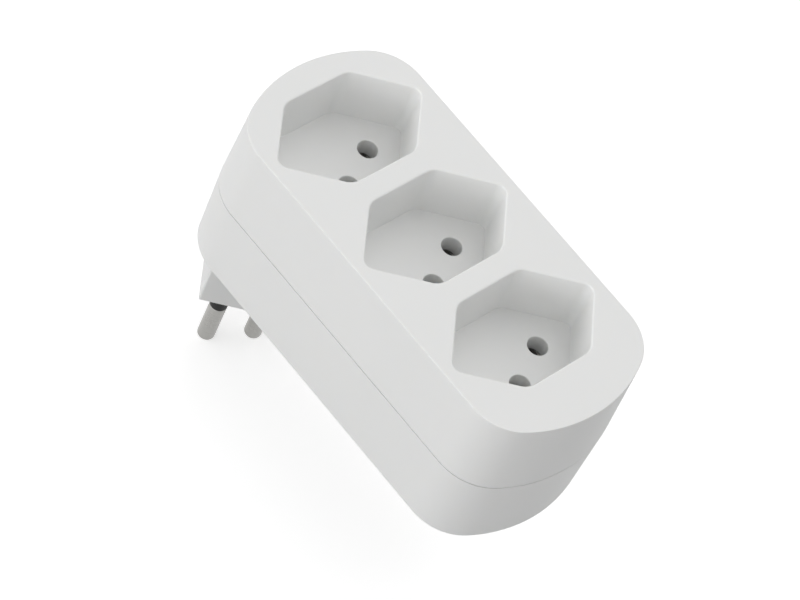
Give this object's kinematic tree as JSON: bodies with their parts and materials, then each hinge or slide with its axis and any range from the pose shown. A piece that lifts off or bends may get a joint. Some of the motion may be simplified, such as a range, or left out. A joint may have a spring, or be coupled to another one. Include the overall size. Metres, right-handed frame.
{
  "type": "multi socket adapter",
  "caption": "Long rounded plug-in adapter: a row of six-sided socket recesses with round pin holes in its front, and a six-sided plug block with round pins behind one end.",
  "frame": {"origin": "midway between the two live pins, on the face of the plug block that the pins stand on", "axes": "+X along the body from the plug end to the free end, +Y across the body, +Z out of the sockets; the plug's pins point along -Z"},
  "size_m": [0.0969, 0.0454, 0.0784],
  "materials": {
    "housing_plastic": "white moulded plastic, satin",
    "sleeve_plastic": "black moulded nylon, satin",
    "plated_pin": "nickel plated brass, turned",
    "strip_brass": "stamped sheet, as rolled",
    "contact_bronze": "rolled phosphor bronze, bare",
    "screw_steel": "zinc plated steel"
  },
  "bodies": {
    "root": {"front_shell": "housing_plastic", "rear_shell": "housing_plastic", "line_pin": "plated_pin", "line_pin_sleeve": "sleeve_plastic", "line_strip": "strip_brass", "line_contact_1": "contact_bronze", "line_contact_2": "contact_bronze", "line_contact_3": "contact_bronze", "neutral_pin": "plated_pin", "neutral_pin_sleeve": "sleeve_plastic", "neutral_strip": "strip_brass", "neutral_contact_1": "contact_bronze", "neutral_contact_2": "contact_bronze", "neutral_contact_3": "contact_bronze", "earth_pin": "plated_pin", "earth_strip": "strip_brass", "earth_contact_1": "contact_bronze", "earth_contact_2": "contact_bronze", "earth_contact_3": "contact_bronze", "housing_screws": "screw_steel"}
  },
  "joints": []
}
